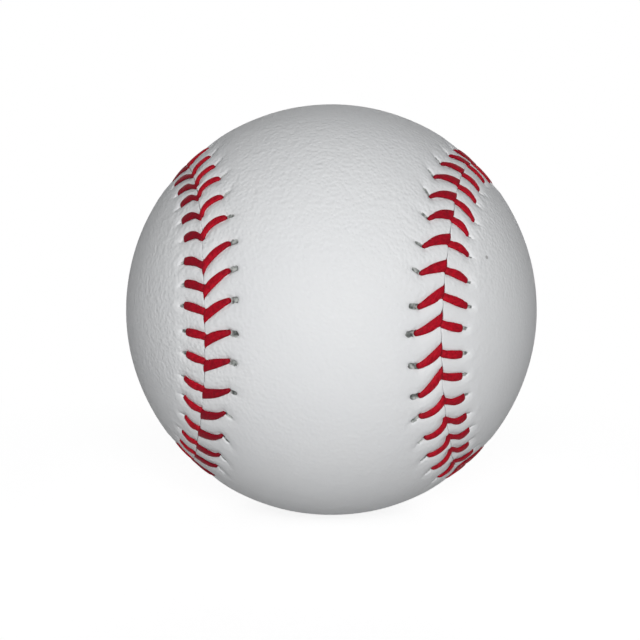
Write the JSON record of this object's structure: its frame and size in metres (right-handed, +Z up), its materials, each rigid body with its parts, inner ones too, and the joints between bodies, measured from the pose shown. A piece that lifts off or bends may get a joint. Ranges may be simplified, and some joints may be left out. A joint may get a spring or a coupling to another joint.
{
  "type": "training baseball",
  "caption": "Round ball of yarn wound on a cushioned cork centre, in two figure-eight leather panels laced edge to edge with raised red stitches.",
  "frame": {"origin": "centre of the ball", "axes": "+Z up as the picture shows it; the waist of cover panel A faces -Y, towards the camera; +X to the camera's right. Y is the axis through the two waists, about which the seam repeats every half turn"},
  "size_m": [0.072, 0.0718, 0.072],
  "materials": {
    "cover_leather": "white full-grain leather, fine pebble, semi-matt",
    "lacing_thread": "crimson waxed two-ply thread, slightly fuzzy",
    "cork_rubber": "ground cork bound in rubber, matt",
    "black_rubber": "moulded black rubber, matt",
    "red_rubber": "moulded red rubber, matt",
    "grey_wool": "grey wool yarn, wound tight",
    "white_wool": "off-white wool yarn, wound tight",
    "cotton_yarn": "white poly-cotton yarn, wound tight"
  },
  "bodies": {
    "root": {"cork_core": "cork_rubber", "pill_cup_back": "black_rubber", "pill_cup_front": "black_rubber", "pill_washer": "red_rubber", "pill_jacket": "red_rubber", "first_winding": "grey_wool", "second_winding": "white_wool", "third_winding": "grey_wool", "finishing_winding": "cotton_yarn", "cover_panel_a": "cover_leather", "cover_panel_b": "cover_leather", "lacing_thread_1": "lacing_thread", "lacing_thread_2": "lacing_thread"}
  },
  "joints": []
}
